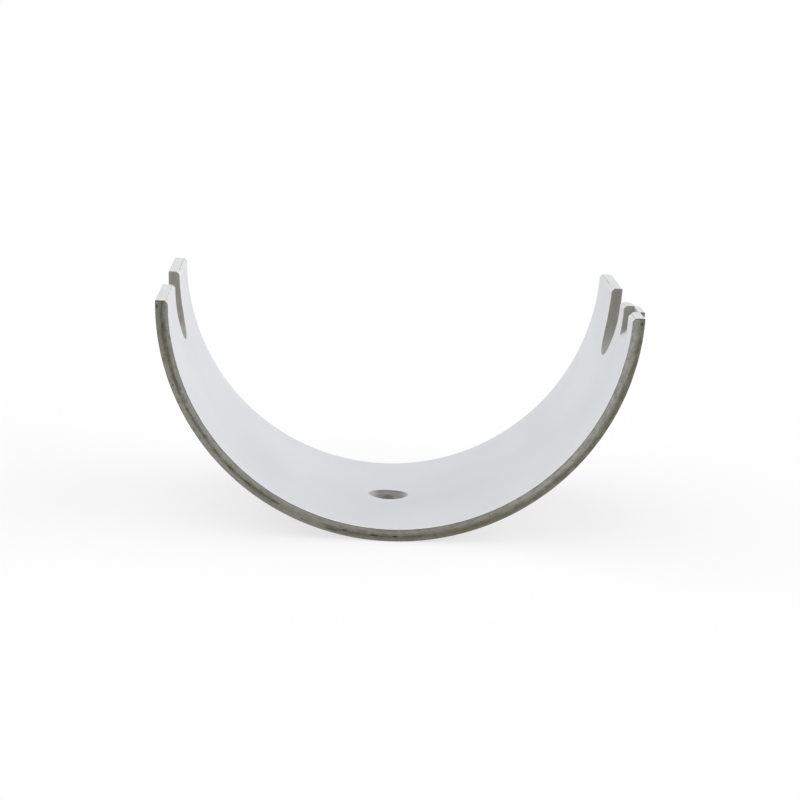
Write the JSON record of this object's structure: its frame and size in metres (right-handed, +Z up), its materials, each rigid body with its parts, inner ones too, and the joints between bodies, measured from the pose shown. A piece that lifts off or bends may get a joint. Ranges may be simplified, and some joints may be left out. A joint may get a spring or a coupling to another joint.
{
  "type": "engine bearing shell",
  "caption": "Thin half-round engine bearing shell with a locating tang, an arched notch at each joint face and a countersunk oil hole in its crown, made to line half of a journal housing.",
  "frame": {"origin": "on the bore axis, half way along the shell, in the plane of the two joint faces", "axes": "+Y along the bore axis, +Z up out of the open side with the crown at the bottom, +X towards the joint face that has the tang"},
  "size_m": [0.0909, 0.042, 0.045],
  "materials": {
    "shell": "satin lining on a steel back"
  },
  "bodies": {
    "root": {"bearing_shell": "shell"}
  },
  "joints": []
}
